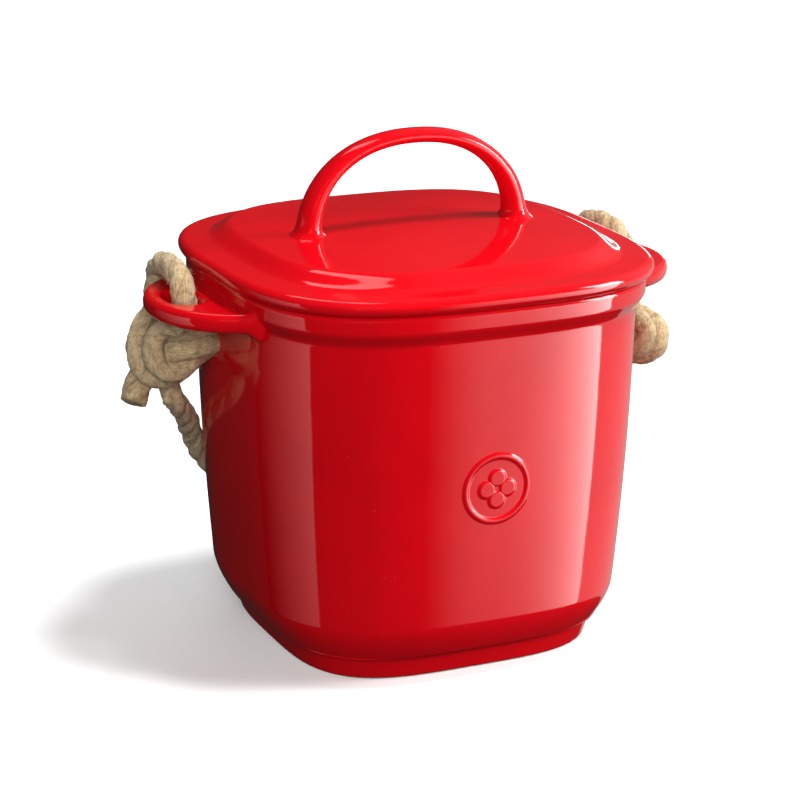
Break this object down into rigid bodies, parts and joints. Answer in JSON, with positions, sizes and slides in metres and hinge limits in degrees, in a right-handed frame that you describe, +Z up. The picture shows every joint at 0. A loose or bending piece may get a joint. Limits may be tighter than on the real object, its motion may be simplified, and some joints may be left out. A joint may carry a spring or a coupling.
{
  "type": "soup tureen",
  "caption": "Glazed ceramic soup tureen of rounded-square plan with a lift-off lid, an arched lid handle, ear lugs and a knotted rope carrying handle.",
  "frame": {"origin": "middle of the pot's foot, on the table", "axes": "+Z up; the two lugs lie along X; the raised seal faces -Y and the rope hangs behind the pot at +Y"},
  "size_m": [0.2984, 0.2138, 0.2532],
  "materials": {
    "glaze": "gloss",
    "rope": "matte"
  },
  "bodies": {
    "pot": {"pot_body": "glaze", "left_lug": "glaze", "right_lug": "glaze", "front_seal": "glaze", "rope_left_loop": "rope", "rope_right_loop": "rope", "rope_left_knot": "rope", "rope_right_knot": "rope"},
    "lid": {"lid_plate": "glaze", "lid_handle": "glaze"},
    "carry_rope": {"rope_span": "rope"}
  },
  "joints": [
    {"name": "lid_lift", "type": "slide", "parent": "pot", "child": "lid", "axis": [0, 0, 1], "range_m": [0, 0.12]},
    {"name": "rope_swing", "type": "hinge", "parent": "pot", "child": "carry_rope", "pos_m": [-0.115, 0.031, 0.121], "axis": [0.9981, 0, -0.0619], "range_deg": [0, 52]}
  ]
}
